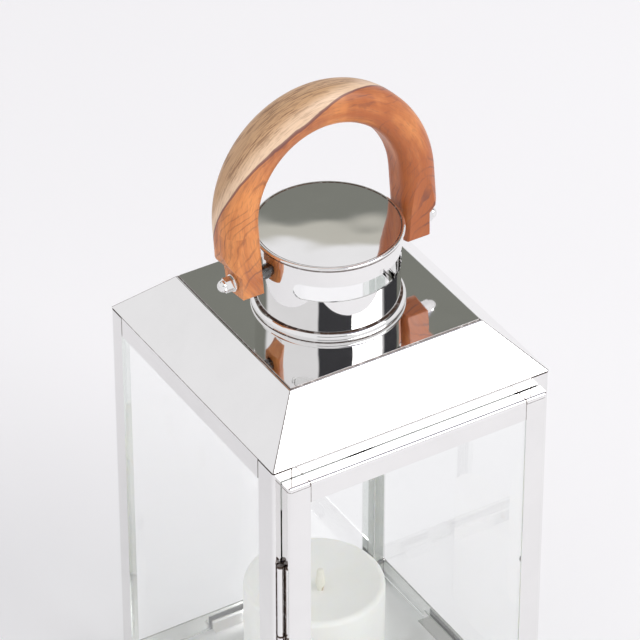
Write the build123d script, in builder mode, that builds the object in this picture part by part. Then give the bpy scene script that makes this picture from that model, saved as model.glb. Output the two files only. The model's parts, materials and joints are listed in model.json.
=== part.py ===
"""Candle lantern: a square polished steel case with glass panes, a hinged door,
a hipped roof with a slotted chimney, and a wooden hoop handle on two pivot bolts.

The model stands on z = 0 with +Z up. The door is on the -Y side. The origin is the
middle of the bounding box, on the floor. All sizes are millimetres.
"""
import os
from math import asin, cos, degrees, radians, sin

from build123d import *

# ---------------------------------------------------------------- driving dimensions
body_width = 210.0  # case, square, over the posts
roof_edge_z = 315.0  # height of the roof's lower edge
foot_height = 3.0  # gap under the case
sheet = 1.2  # folded sheet of the case and door
seam = 0.4  # visible gap where two folded pieces meet
glass = 2.5  # thickness of every pane
pane_gap = 0.2  # air between a pane and the metal beside it

post_flange = 13.4  # usual post flange
post_front_side_flange = 18.5  # side flange of the two front posts
post_bend = 1.8  # outer bend radius
post_top_gap = 1.0  # shadow gap between post and roof
rail_height = 16.0
rail_lip = 10.0  # flange that a rail turns inwards

door_left = -99.0
door_right = 97.5
door_bottom_z = 12.0
door_top_z = 306.0
door_depth = 10.0  # from the case to the door's front face
door_gap = 1.0  # from the case to the door's back edges
door_frame_width = 16.0
door_fold = 2.4  # outer radius of the door's folded edges
door_lap = 3.0  # height of the fold where it laps over a stile's end

roof_top_width = 146.0
roof_rise = 32.8
roof_lip = 10.0
roof_bend = 1.2
plate_width = 144.0
plate_thickness = 1.0
throat_radius = 44.0  # hole in the top plate under the chimney

chimney_radius = 47.8
chimney_sheet = 1.0
chimney_height = 58.4  # from the plate to the top of the cap
cap_radius = 49.2  # the skirt, under the rolled rim
cap_rim_radius = 50.2
cap_rim = 2.8  # height of the rolled rim
cap_recess = 0.3  # from the top of the rim down to the disc
cap_skirt = 9.0
bead_radius = 51.2
bead_height = 6.0
slot_low = 30.4  # above the plate
slot_high = 42.1
slot_half_angle = 59.7  # degrees, to the rounded end

pivot_height = 38.4  # above the plate
handle_lean = 7.5  # degrees back from upright, as the handle stands
hoop_inner_radius = 54.0
hoop_outer_radius = 80.0
hoop_rise = 39.3  # from the pivot to the middle of the arch
hoop_depth = 31.0
hoop_outer_round = 12.5
hoop_inner_round = 10.0
leg_end = 9.5  # leg below the pivot
leg_end_depth = 21.0  # the legs thin down to this, front to back
leg_taper_top = 42.0
leg_outer_face = 71.0  # flat that the washer lies on, from the middle
leg_flat_top = 8.0
leg_shoulder_top = 30.0
leg_end_round = 1.5
leg_back_round = 8.0  # lower back corner of each leg

bolt_radius = 2.5
bolt_clearance = 0.05
hinge_radius = 2.2
hinge_pin_radius = 1.0
hinge_length = 175.0
hinge_drop = 7.0  # from the middle of the door's height down to the hinge's
hinge_leaf = 0.7
hinge_gap = 0.3

candle_radius = 47.9
candle_top_z = 108.8
candle_x = -7.5
candle_y = 9.7
wick_height = 18.0
wick_radius = 3.4

# ---------------------------------------------------------------- worked out from them
body_half = body_width / 2
body_y = door_depth / 2
front_y = body_y - body_half
back_y = body_y + body_half
inner_half = body_half - sheet
floor_low_z = foot_height + sheet
floor_z = floor_low_z + sheet
rail_top_low_z = roof_edge_z - rail_height
plate_low_z = roof_edge_z + roof_rise
plate_z = plate_low_z + plate_thickness
cap_z = plate_z + chimney_height
pivot_z = plate_z + pivot_height
door_front_y = front_y - door_depth
door_back_y = front_y - door_gap
hinge_x = door_left - hinge_radius - hinge_gap
hinge_y = front_y - hinge_radius - hinge_gap
hinge_low_z = (door_bottom_z + door_top_z - hinge_length) / 2 - hinge_drop

sides = {
    "front": {"inward": (0, 1, 0), "along": (1, 0, 0), "face": (0, front_y)},
    "back": {"inward": (0, -1, 0), "along": (-1, 0, 0), "face": (0, back_y)},
    "left": {"inward": (1, 0, 0), "along": (0, -1, 0), "face": (-body_half, body_y)},
    "right": {"inward": (-1, 0, 0), "along": (0, 1, 0), "face": (body_half, body_y)},
}

os.makedirs("parts", exist_ok=True)


def save(piece, name):
    """Label a finished piece and write its STEP file."""
    piece.part.label = name
    export_step(piece.part, f"parts/{name}.step")


def level(z):
    """The horizontal plane at height z, centred on the case."""
    return Plane(origin=(0, body_y, z), x_dir=(1, 0, 0), z_dir=(0, 0, 1))


def section_plane(side, distance):
    """A plane across one side's length: x runs inwards from its face, y runs up."""
    along = Vector(*sides[side]["along"])
    face_x, face_y = sides[side]["face"]
    origin = Vector(face_x, face_y, 0) + along * distance
    return Plane(origin=origin, x_dir=sides[side]["inward"], z_dir=along)


def sideways(x, side):
    """A plane facing outwards along X at the pivot, for one side (-1 or 1)."""
    return Plane(origin=(side * x, body_y, pivot_z), x_dir=(0, 1, 0), z_dir=(side, 0, 0))


# ---------------------------------------------------------------- case
def corner_post(side_x, side_y, side_flange):
    """A folded corner post with a rounded outer bend."""
    corner_x = side_x * body_half
    corner_y = body_y + side_y * body_half
    with BuildPart() as post:
        with BuildSketch(Plane.XY.offset(foot_height)):
            with BuildLine():
                Polyline(
                    (corner_x, corner_y),
                    (corner_x - side_x * post_flange, corner_y),
                    (corner_x - side_x * post_flange, corner_y - side_y * sheet),
                    (corner_x - side_x * sheet, corner_y - side_y * sheet),
                    (corner_x - side_x * sheet, corner_y - side_y * side_flange),
                    (corner_x, corner_y - side_y * side_flange),
                    close=True,
                )
            make_face()
        extrude(amount=roof_edge_z - post_top_gap - foot_height)
        corner = (corner_x, corner_y, roof_edge_z / 2)
        fillet(post.edges().filter_by(Axis.Z).sort_by_distance(corner)[0], post_bend)
    return post


def frame_rail(side, low_z, lip_z, start_flange, end_flange):
    """A folded rail between two posts, with a lip turned inwards under or over it."""
    start = -body_half + start_flange + seam
    end = body_half - end_flange - seam
    lip_half = inner_half if side in ("front", "back") else body_half - rail_lip
    with BuildPart() as rail:
        with BuildSketch(section_plane(side, start)):
            with Locations((0, low_z)):
                Rectangle(sheet, rail_height, align=(Align.MIN, Align.MIN))
        extrude(amount=end - start)
        with BuildSketch(section_plane(side, -lip_half)):
            with Locations((sheet, lip_z)):
                Rectangle(rail_lip - sheet, sheet, align=(Align.MIN, Align.MIN))
        extrude(amount=2 * lip_half)
    return rail


def pane_clips(side, length=66.0, leg=8.0, foot=6.0, metal=1.0):
    """The two folded clips that hold a pane, one on the floor and one under the roof."""
    pane_face = sheet + glass + 2 * pane_gap
    with BuildPart() as clips:
        with BuildSketch(section_plane(side, -length / 2)):
            with Locations((pane_face, floor_z)):
                Rectangle(metal, leg, align=(Align.MIN, Align.MIN))
                Rectangle(foot, metal, align=(Align.MIN, Align.MIN))
            with Locations((pane_face, roof_edge_z - sheet)):
                Rectangle(metal, leg, align=(Align.MIN, Align.MAX))
                Rectangle(foot, metal, align=(Align.MIN, Align.MAX))
        extrude(amount=length)
    return clips


for x_name, side_x in (("left", -1), ("right", 1)):
    for y_name, side_y, side_flange in (
        ("front", -1, post_front_side_flange),
        ("back", 1, post_flange),
    ):
        save(corner_post(side_x, side_y, side_flange), f"post_{y_name}_{x_name}")

rail_ends = {
    "front": (post_flange, post_flange),
    "back": (post_flange, post_flange),
    "left": (post_flange, post_front_side_flange),
    "right": (post_front_side_flange, post_flange),
}
for side, (start_flange, end_flange) in rail_ends.items():
    lower = frame_rail(side, foot_height, foot_height, start_flange, end_flange)
    save(lower, f"rail_bottom_{side}")
    upper = frame_rail(side, rail_top_low_z, roof_edge_z - sheet, start_flange, end_flange)
    save(upper, f"rail_top_{side}")

pan_half = inner_half - 0.2
with BuildPart() as base_pan:
    with BuildSketch(level(floor_low_z)):
        Rectangle(2 * pan_half, 2 * pan_half)
    extrude(amount=sheet)
save(base_pan, "base_pan")

foot_radius = 6.0
foot_inset = 20.0
for x_name, side_x in (("left", -1), ("right", 1)):
    for y_name, side_y in (("front", -1), ("back", 1)):
        spot = (side_x * (body_half - foot_inset), side_y * (body_half - foot_inset))
        with BuildPart() as foot:
            with BuildSketch(level(0)):
                with Locations(spot):
                    Circle(foot_radius)
            extrude(amount=floor_low_z)
            fillet(foot.faces().sort_by(Axis.Z)[0].edges(), 0.8)
        save(foot, f"foot_{y_name}_{x_name}")

# ---------------------------------------------------------------- fixed panes
pane_top_z = roof_edge_z - sheet - 2 * pane_gap
pane_low_z = floor_z + pane_gap
side_pane_length = 2 * (inner_half - 2 * pane_gap)
back_pane_length = 2 * (inner_half - glass - 2 * pane_gap)
for side, length in (
    ("left", side_pane_length),
    ("right", side_pane_length),
    ("back", back_pane_length),
):
    with BuildPart() as pane:
        with BuildSketch(section_plane(side, -length / 2)):
            with Locations((sheet + pane_gap, pane_low_z)):
                Rectangle(glass, pane_top_z - pane_low_z, align=(Align.MIN, Align.MIN))
        extrude(amount=length)
    save(pane, f"glass_{side}")
    save(pane_clips(side), f"pane_clips_{side}")

# ---------------------------------------------------------------- roof
roof_top_half = roof_top_width / 2
roof_run = body_half - roof_top_half
roof_offset = 1.7  # level distance through the sloping sheet
cavity_low_z = roof_edge_z + sheet
cavity_high_z = plate_low_z - sheet


def roof_half(z):
    """Half the width of the roof's outside at height z."""
    return body_half - roof_run * (z - roof_edge_z) / roof_rise


with BuildPart() as roof_shell:
    with BuildSketch(level(roof_edge_z)):
        Rectangle(body_width, body_width)
    with BuildSketch(level(plate_low_z)):
        Rectangle(roof_top_width, roof_top_width)
    loft()
    hips = roof_shell.edges().filter_by(lambda edge: abs((edge @ 1 - edge @ 0).Z) > 1)
    fillet(hips, roof_bend)
    fillet(roof_shell.faces().sort_by(Axis.Z)[-1].edges(), roof_bend)
    with BuildSketch(level(cavity_low_z)):
        cavity_low = 2 * (roof_half(cavity_low_z) - roof_offset)
        Rectangle(cavity_low, cavity_low)
    with BuildSketch(level(cavity_high_z)):
        cavity_high = 2 * (roof_half(cavity_high_z) - roof_offset)
        Rectangle(cavity_high, cavity_high)
    loft(mode=Mode.SUBTRACT)
    with BuildSketch(level(roof_edge_z)):
        Rectangle(body_width - 2 * roof_lip, body_width - 2 * roof_lip)
    extrude(amount=sheet, mode=Mode.SUBTRACT)
    with BuildSketch(level(plate_low_z)):
        Rectangle(roof_top_width - 2 * roof_lip, roof_top_width - 2 * roof_lip)
    extrude(amount=-sheet, mode=Mode.SUBTRACT)
save(roof_shell, "roof_shell")

with BuildPart() as roof_top_plate:
    with BuildSketch(level(plate_low_z)):
        RectangleRounded(plate_width, plate_width, 1.5)
        Circle(throat_radius, mode=Mode.SUBTRACT)
    extrude(amount=plate_thickness)
    fillet(roof_top_plate.faces().sort_by(Axis.Z)[-1].outer_wire().edges(), 0.4)
save(roof_top_plate, "roof_top_plate")

# ---------------------------------------------------------------- chimney
wall_top_z = cap_z - sheet
wall_inner = chimney_radius - chimney_sheet
slot_round = (slot_high - slot_low) / 2
slot_straight = slot_half_angle - degrees(asin(slot_round / chimney_radius))
slot_mid_z = plate_z + (slot_low + slot_high) / 2
cutter_reach = 4.0

with BuildPart() as chimney_wall:
    with BuildSketch(level(plate_z)):
        Circle(chimney_radius)
        Circle(wall_inner, mode=Mode.SUBTRACT)
    extrude(amount=wall_top_z - plate_z)
    for facing in (-90.0, 90.0):
        start_angle = radians(facing - slot_straight)
        start_dir = (cos(start_angle), sin(start_angle), 0)
        side_dir = (sin(start_angle), -cos(start_angle), 0)
        with BuildSketch(Plane(origin=(0, body_y, 0), x_dir=start_dir, z_dir=side_dir)):
            with Locations((chimney_radius, slot_mid_z)):
                Rectangle(2 * cutter_reach, 2 * slot_round)
        revolve(
            axis=Axis((0, body_y, 0), (0, 0, 1)),
            revolution_arc=2 * slot_straight,
            mode=Mode.SUBTRACT,
        )
        for end in (-slot_straight, slot_straight):
            end_angle = radians(facing + end)
            outwards = Vector(cos(end_angle), sin(end_angle), 0)
            origin = Vector(0, body_y, slot_mid_z) + outwards * (chimney_radius - cutter_reach)
            with BuildSketch(Plane(origin=origin, z_dir=outwards)):
                Circle(slot_round)
            extrude(amount=2 * cutter_reach, mode=Mode.SUBTRACT)
    with BuildSketch(sideways(-cap_radius, 1)):
        Circle(bolt_radius)
    extrude(amount=2 * cap_radius, mode=Mode.SUBTRACT)
save(chimney_wall, "chimney_wall")

profile_plane = Plane(origin=(0, body_y, 0), x_dir=(1, 0, 0), z_dir=(0, -1, 0))
chimney_axis = Axis((0, body_y, 0), (0, 0, 1))

with BuildPart() as chimney_foot_ring:
    with BuildSketch(profile_plane):
        with BuildLine():
            low_inner = (chimney_radius, plate_z)
            low_outer = (bead_radius - 0.8, plate_z)
            top_inner = (chimney_radius, plate_z + bead_height)
            Line(low_inner, low_outer)
            ThreePointArc(low_outer, (bead_radius, plate_z + 0.45 * bead_height), top_inner)
            Line(top_inner, low_inner)
        make_face()
    revolve(axis=chimney_axis)
save(chimney_foot_ring, "chimney_foot_ring")

cap_inner = cap_radius - chimney_sheet
rim_low_z = cap_z - cap_rim
rim_round = cap_rim / 2
disc_z = cap_z - cap_recess
disc_radius = cap_radius - 1.6
with BuildPart() as chimney_cap:
    with BuildSketch(profile_plane):
        with BuildLine():
            rim_top = (cap_rim_radius - rim_round, cap_z)
            rim_side = (cap_rim_radius, cap_z - rim_round)
            rim_foot = (cap_radius, rim_low_z)
            Polyline((0, wall_top_z), (0, disc_z), (disc_radius, disc_z))
            Polyline((disc_radius, disc_z), (disc_radius + cap_recess, cap_z), rim_top)
            RadiusArc(rim_top, rim_side, rim_round)
            Line(rim_side, rim_foot)
            Polyline(
                rim_foot,
                (cap_radius, cap_z - cap_skirt),
                (cap_inner, cap_z - cap_skirt),
                (cap_inner, wall_top_z),
                (0, wall_top_z),
            )
        make_face()
    revolve(axis=chimney_axis)
save(chimney_cap, "chimney_cap")

# ---------------------------------------------------------------- pivot bolts
head_thickness = 3.5
head_flats = 8.0
head_seat = wall_inner - 0.4
spacer_radius = 5.0
side_play = 0.2  # between the wooden leg and the parts beside it
washer_radius = 6.0
washer_thickness = 1.6
washer_x = leg_outer_face + side_play
nut_flats = 9.0
nut_x = washer_x + washer_thickness
nut_hex = 5.5
nut_dome = 4.1
bolt_end = nut_x + nut_hex + 1.5

for name, side in (("left", -1), ("right", 1)):
    with BuildPart() as bolt:
        with BuildSketch(sideways(head_seat, side)):
            RegularPolygon(head_flats / 2, 6, major_radius=False)
        extrude(amount=-head_thickness)
        with BuildSketch(sideways(head_seat, side)):
            Circle(bolt_radius)
        extrude(amount=bolt_end - head_seat)
    save(bolt, f"pivot_bolt_{name}")

    with BuildPart() as spacer:
        spacer_end = hoop_inner_radius - side_play
        with BuildSketch(sideways(wall_inner, side)):
            Circle(spacer_radius)
            Circle(bolt_radius, mode=Mode.SUBTRACT)
        extrude(amount=spacer_end - wall_inner)
        with BuildSketch(level(plate_z)):
            Circle(chimney_radius)
        extrude(amount=chimney_height, mode=Mode.SUBTRACT)
    save(spacer, f"pivot_spacer_{name}")

    with BuildPart() as washer:
        with BuildSketch(sideways(washer_x, side)):
            Circle(washer_radius)
            Circle(bolt_radius, mode=Mode.SUBTRACT)
        extrude(amount=washer_thickness)
        fillet(washer.edges().filter_by(GeomType.CIRCLE).group_by(SortBy.RADIUS)[-1], 0.3)
    save(washer, f"pivot_washer_{name}")

    with BuildPart() as nut:
        with BuildSketch(sideways(nut_x, side)):
            RegularPolygon(nut_flats / 2, 6, major_radius=False)
        extrude(amount=nut_hex)
        with BuildSketch(sideways(nut_x + nut_hex, side)):
            Circle(nut_dome)
        extrude(amount=0.6)
        with Locations((side * (nut_x + nut_hex + 0.6), body_y, pivot_z)):
            Sphere(nut_dome)
        with BuildSketch(sideways(nut_x, side)):
            Circle(bolt_radius)
        extrude(amount=bolt_end - nut_x, mode=Mode.SUBTRACT)
    save(nut, f"acorn_nut_{name}")

# ---------------------------------------------------------------- wooden hoop handle
lean = radians(handle_lean)
hoop_plane = Plane(
    origin=(0, body_y, pivot_z), x_dir=(1, 0, 0), z_dir=(0, -cos(lean), sin(lean))
)
hoop_mid_radius = (hoop_inner_radius + hoop_outer_radius) / 2
hoop_thickness = hoop_outer_radius - hoop_inner_radius
leg_foot = hoop_plane.from_local_coords(Vector(-hoop_mid_radius, -leg_end, 0))
leg_side_plane = Plane(origin=(0, body_y, pivot_z), x_dir=hoop_plane.z_dir, z_dir=(-1, 0, 0))

with BuildPart() as handle_hoop:
    with BuildLine(hoop_plane):
        Line((-hoop_mid_radius, -leg_end), (-hoop_mid_radius, hoop_rise))
        CenterArc((0, hoop_rise), hoop_mid_radius, 180, -180)
        Line((hoop_mid_radius, hoop_rise), (hoop_mid_radius, -leg_end))
    with BuildSketch(Plane(origin=leg_foot, x_dir=(1, 0, 0), z_dir=hoop_plane.y_dir)) as section:
        Rectangle(hoop_thickness, hoop_depth)
        fillet(section.vertices().group_by(Axis.X)[0], hoop_outer_round)
        fillet(section.vertices().group_by(Axis.X)[-1], hoop_inner_round)
    sweep()
    with BuildSketch(leg_side_plane):
        with Locations((0, leg_taper_top)):
            Rectangle(
                2 * hoop_depth,
                leg_taper_top + 2 * leg_end,
                align=(Align.CENTER, Align.MAX),
            )
        with BuildLine():
            end_half = leg_end_depth / 2
            wide_half = hoop_depth / 2 + 0.5
            front_low = (end_half, leg_end_round - leg_end)
            front_foot = (end_half - leg_end_round, -leg_end)
            back_low = (-end_half, leg_back_round - leg_end)
            back_foot = (leg_back_round - end_half, -leg_end)
            RadiusArc(front_low, front_foot, leg_end_round)
            Line(front_foot, back_foot)
            RadiusArc(back_foot, back_low, leg_back_round)
            Polyline(
                back_low,
                (-wide_half, leg_taper_top),
                (wide_half, leg_taper_top),
                front_low,
            )
        make_face(mode=Mode.SUBTRACT)
    extrude(amount=hoop_outer_radius, both=True, mode=Mode.SUBTRACT)
    with BuildSketch(hoop_plane):
        with BuildLine():
            foot_inside = (leg_outer_face - leg_end_round, -leg_end)
            flat_low = (leg_outer_face, leg_end_round - leg_end)
            flat_top = (leg_outer_face, leg_flat_top)
            shoulder = (leg_outer_face + 6.6, leg_flat_top + 8.5)
            shoulder_top = (hoop_outer_radius + 0.5, leg_shoulder_top)
            outside = (hoop_outer_radius + 5, leg_shoulder_top)
            RadiusArc(foot_inside, flat_low, -leg_end_round)
            Line(flat_low, flat_top)
            ThreePointArc(flat_top, shoulder, shoulder_top)
            Polyline(shoulder_top, outside, (outside[0], -leg_end), foot_inside)
        make_face()
        mirror(about=Plane.YZ)
    extrude(amount=hoop_depth, both=True, mode=Mode.SUBTRACT)
    with BuildSketch(sideways(-hoop_outer_radius, 1)):
        Circle(bolt_radius + bolt_clearance)
    extrude(amount=2 * hoop_outer_radius, mode=Mode.SUBTRACT)
save(handle_hoop, "handle_hoop")

# ---------------------------------------------------------------- door
door_width = door_right - door_left
door_height = door_top_z - door_bottom_z
return_depth = door_back_y - door_front_y


def door_stile(outer_x, inwards):
    """An upright of the door: a front strip and a side return; inwards is -1 or 1."""
    with BuildPart() as stile:
        with BuildSketch(Plane.XY.offset(door_bottom_z)):
            with BuildLine():
                Polyline(
                    (outer_x, door_front_y),
                    (outer_x + inwards * door_frame_width, door_front_y),
                    (outer_x + inwards * door_frame_width, door_front_y + sheet),
                    (outer_x + inwards * sheet, door_front_y + sheet),
                    (outer_x + inwards * sheet, door_back_y),
                    (outer_x, door_back_y),
                    close=True,
                )
            make_face()
        extrude(amount=door_height)
        corner = (outer_x, door_front_y, (door_bottom_z + door_top_z) / 2)
        fillet(stile.edges().filter_by(Axis.Z).sort_by_distance(corner)[0], door_fold)
        for lap_z in (door_bottom_z, door_top_z - door_lap):
            with BuildSketch(Plane.XY.offset(lap_z)):
                with Locations((outer_x + inwards * (sheet + door_frame_width) / 2, door_front_y)):
                    Rectangle(door_frame_width - sheet, 2 * sheet)
            extrude(amount=door_lap, mode=Mode.SUBTRACT)
    return stile


def door_rail(edge_z, inwards):
    """A cross rail of the door, its folded edge lapping over the ends of the stiles."""
    with BuildPart() as rail:
        for half_gap, drop in (
            (door_frame_width, door_frame_width),
            (sheet, door_lap),
        ):
            start_x = door_left + half_gap
            end_x = door_right - half_gap
            with BuildSketch(Plane(origin=(start_x, 0, 0), x_dir=(0, 1, 0), z_dir=(1, 0, 0))):
                with BuildLine():
                    Polyline(
                        (door_front_y, edge_z),
                        (door_back_y, edge_z),
                        (door_back_y, edge_z + inwards * sheet),
                        (door_front_y + sheet, edge_z + inwards * sheet),
                        (door_front_y + sheet, edge_z + inwards * drop),
                        (door_front_y, edge_z + inwards * drop),
                        close=True,
                    )
                make_face()
            extrude(amount=end_x - start_x)
        corner = (0, door_front_y, edge_z)
        fillet(rail.edges().filter_by(Axis.X).sort_by_distance(corner)[0], door_fold)
    return rail


save(door_stile(door_left, 1), "door_stile_hinge")
save(door_stile(door_right, -1), "door_stile_latch")
save(door_rail(door_bottom_z, 1), "door_rail_bottom")
save(door_rail(door_top_z, -1), "door_rail_top")

pane_play = 0.2
door_glass_y = door_front_y + sheet + pane_gap
with BuildPart() as door_glass:
    with BuildSketch(Plane.XY.offset(door_bottom_z + sheet + pane_play)):
        with Locations(((door_left + door_right) / 2, door_glass_y)):
            Rectangle(door_width - 2 * (sheet + pane_play), glass, align=(Align.CENTER, Align.MIN))
    extrude(amount=door_height - 2 * (sheet + pane_play))
save(door_glass, "door_glass")

clip_length = 40.0
clip_metal = 1.0
clip_reach = 8.0
clip_y = door_glass_y + glass + pane_gap
with BuildPart() as door_glass_clips:
    for clip_z in (hinge_low_z - 30, hinge_low_z + hinge_length - 10):
        with BuildSketch(Plane.XY.offset(clip_z)):
            with Locations((door_left + sheet, clip_y)):
                Rectangle(clip_reach, clip_metal, align=(Align.MIN, Align.MIN))
                Rectangle(clip_metal, 4, align=(Align.MIN, Align.MIN))
            with Locations((door_right - sheet, clip_y)):
                Rectangle(clip_reach, clip_metal, align=(Align.MAX, Align.MIN))
                Rectangle(clip_metal, 4, align=(Align.MAX, Align.MIN))
        extrude(amount=clip_length)
save(door_glass_clips, "door_glass_clips")

# ---------------------------------------------------------------- hinge
knuckle = hinge_length / 3
hinge_play = 0.15  # at each end of a knuckle
leaf_clear = hinge_radius + hinge_gap
frame_leaf_end = -90.0
door_leaf_end = door_front_y + 1.8
hinge_high_z = hinge_low_z + hinge_length


def knuckle_tube(low_z, high_z):
    """Add one knuckle of the barrel to the part being built."""
    with Locations((hinge_x, hinge_y, low_z)):
        Cylinder(hinge_radius, high_z - low_z, align=(Align.CENTER, Align.CENTER, Align.MIN))


def pin_bore():
    """Cut the hole for the pin right through the part being built."""
    bore_radius = hinge_pin_radius + bolt_clearance
    with Locations((hinge_x, hinge_y, (hinge_low_z + hinge_high_z) / 2)):
        Cylinder(bore_radius, hinge_length, mode=Mode.SUBTRACT)


with BuildPart() as hinge_leaf_frame:
    with BuildSketch(Plane(origin=(0, front_y, 0), x_dir=(1, 0, 0), z_dir=(0, -1, 0))):
        with Locations((hinge_x, hinge_low_z)):
            Rectangle(frame_leaf_end - hinge_x, hinge_length, align=(Align.MIN, Align.MIN))
        with Locations((hinge_x, hinge_low_z + knuckle - hinge_play)):
            Rectangle(
                leaf_clear,
                knuckle + 2 * hinge_play,
                align=(Align.MIN, Align.MIN),
                mode=Mode.SUBTRACT,
            )
    extrude(amount=hinge_leaf)
    knuckle_tube(hinge_low_z, hinge_low_z + knuckle - hinge_play)
    knuckle_tube(hinge_high_z - knuckle + hinge_play, hinge_high_z)
    pin_bore()
save(hinge_leaf_frame, "hinge_leaf_frame")

with BuildPart() as hinge_leaf_door:
    with BuildSketch(Plane(origin=(door_left, 0, 0), x_dir=(0, -1, 0), z_dir=(-1, 0, 0))):
        leaf_start = -hinge_y + leaf_clear - 0.4
        with Locations((leaf_start, hinge_low_z)):
            Rectangle(-door_leaf_end - leaf_start, hinge_length, align=(Align.MIN, Align.MIN))
        with Locations((-hinge_y, hinge_low_z + knuckle + hinge_play)):
            Rectangle(leaf_clear, knuckle - 2 * hinge_play, align=(Align.MIN, Align.MIN))
    extrude(amount=hinge_leaf)
    outer_corners = hinge_leaf_door.edges().filter_by(Axis.X).group_by(Axis.Y)[0]
    fillet(outer_corners, 2.0)
    knuckle_tube(hinge_low_z + knuckle + hinge_play, hinge_high_z - knuckle - hinge_play)
    pin_bore()
save(hinge_leaf_door, "hinge_leaf_door")

pin_head_radius = 1.8
pin_head = 0.8
with BuildPart() as hinge_pin:
    with BuildSketch(Plane.XY.offset(hinge_low_z - pin_head)):
        with Locations((hinge_x, hinge_y)):
            Circle(hinge_pin_radius)
    extrude(amount=hinge_length + 2 * pin_head)
    for head_z in (hinge_low_z - pin_head, hinge_high_z):
        with BuildSketch(Plane.XY.offset(head_z)):
            with Locations((hinge_x, hinge_y)):
                Circle(pin_head_radius)
        extrude(amount=pin_head)
save(hinge_pin, "hinge_pin")

# ---------------------------------------------------------------- magnetic catch
catch_z = 165.0
magnet_x = 90.6
magnet_radius = 5.0
magnet_thickness = 2.0
magnet_back_y = front_y - 0.4
magnet_front_y = magnet_back_y - magnet_thickness
bracket_height = 24.0
bracket_left = magnet_x - 3.0
latch_inner_x = door_right - sheet

with BuildPart() as catch_bracket:
    with BuildSketch(Plane.XY.offset(catch_z - bracket_height / 2)):
        with Locations((latch_inner_x, magnet_front_y)):
            Rectangle(latch_inner_x - bracket_left, clip_metal, align=(Align.MAX, Align.MAX))
    extrude(amount=bracket_height)
save(catch_bracket, "catch_bracket")

with BuildPart() as catch_magnet:
    magnet_face = Plane(
        origin=(magnet_x, magnet_back_y, catch_z), x_dir=(1, 0, 0), z_dir=(0, -1, 0)
    )
    with BuildSketch(magnet_face):
        Circle(magnet_radius)
    extrude(amount=magnet_thickness)
save(catch_magnet, "catch_magnet")

# ---------------------------------------------------------------- candle
wick_stem = 2.0
wick_socket = 20.0
wick_shift_y = -6.0  # the wick stands a little to the front of the candle's middle
dish = 4.0
wick_base_z = candle_top_z - dish
wick_low_z = wick_base_z - wick_socket
wick_top_z = wick_base_z + wick_height
wick_y = candle_y + wick_shift_y
candle_plane = Plane(origin=(candle_x, candle_y, 0), x_dir=(1, 0, 0), z_dir=(0, -1, 0))
candle_axis = Axis((candle_x, candle_y, 0), (0, 0, 1))
wick_plane = Plane(origin=(candle_x, wick_y, 0), x_dir=(1, 0, 0), z_dir=(0, -1, 0))

with BuildPart() as candle_body:
    with BuildSketch(candle_plane):
        with BuildLine():
            wall_top = (candle_radius, candle_top_z - 3.5)
            lip = (candle_radius - 4, candle_top_z)
            Polyline((0, wick_base_z), (0, floor_z), (candle_radius - 1.5, floor_z))
            Polyline((candle_radius - 1.5, floor_z), (candle_radius, floor_z + 1.5), wall_top)
            ThreePointArc(wall_top, (candle_radius - 1.1, candle_top_z - 1.1), lip)
            ThreePointArc(lip, (0.6 * candle_radius, candle_top_z - 0.7 * dish), (0, wick_base_z))
        make_face()
    revolve(axis=candle_axis)
    with BuildSketch(Plane.XY.offset(wick_low_z)):
        with Locations((candle_x, wick_y)):
            Circle(wick_stem)
    extrude(amount=wick_socket + dish, mode=Mode.SUBTRACT)
save(candle_body, "candle_body")

with BuildPart() as candle_wick:
    with BuildSketch(wick_plane):
        with BuildLine():
            stem_top = (wick_stem, wick_base_z + 0.5)
            bulge = (wick_radius, wick_base_z + 0.35 * wick_height)
            shoulder = (0.8 * wick_radius, wick_base_z + 0.75 * wick_height)
            tip = (0, wick_top_z)
            Polyline(tip, (0, wick_low_z), (wick_stem, wick_low_z), stem_top)
            Spline(stem_top, bulge, shoulder, tip, tangents=((0.3, 1), (-1, 0)))
        make_face()
    revolve(axis=Axis((candle_x, wick_y, 0), (0, 0, 1)))
save(candle_wick, "candle_wick")
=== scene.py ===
"""Looks of a candle lantern: its steel, glass, wood and wax, and the stage that it stands on."""

import json
from math import cos, pi, radians, sin, tau

import bmesh
import bpy
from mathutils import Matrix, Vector


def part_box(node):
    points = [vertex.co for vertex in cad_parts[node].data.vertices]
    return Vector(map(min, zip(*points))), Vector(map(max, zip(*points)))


bl_info = {
    "name": "Candle lantern",
    "version": (1, 0, 0),
    "blender": (4, 5, 0),
    "location": "View3D > Sidebar > Lantern",
    "description": "Finishes the parts of a steel and glass lantern and sets its stage",
    "category": "Object",
}

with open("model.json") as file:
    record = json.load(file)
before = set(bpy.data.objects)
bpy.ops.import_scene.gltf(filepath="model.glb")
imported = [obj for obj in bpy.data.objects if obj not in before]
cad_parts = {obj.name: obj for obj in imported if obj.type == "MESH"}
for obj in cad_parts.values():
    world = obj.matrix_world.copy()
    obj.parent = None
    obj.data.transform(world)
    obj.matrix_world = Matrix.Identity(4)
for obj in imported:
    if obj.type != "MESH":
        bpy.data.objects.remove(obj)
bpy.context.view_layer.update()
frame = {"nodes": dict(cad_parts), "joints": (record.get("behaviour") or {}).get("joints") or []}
NODES = frame["nodes"]
MM = 0.001


# ------------------------------------------------------------------ places, read from the frame
def middle(node):
    """The centre of a CAD node's box."""
    low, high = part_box(node)
    return (low + high) / 2


def joint_place(name):
    """Where a joint turns, in metres."""
    for joint in frame["joints"]:
        if joint["name"] == name:
            return Vector(joint["pos_m"])
    raise KeyError(name)


PIVOT = joint_place("handle_swing")
CASE_MIDDLE = Vector((PIVOT.x, PIVOT.y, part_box("roof_shell")[0].z))
PLATE_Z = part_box("roof_top_plate")[1].z
CAP_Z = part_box("chimney_cap")[1].z
HINGE = joint_place("door_hinge")
PIVOT_PIECES = ("pivot_bolt", "pivot_washer", "acorn_nut")


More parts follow.
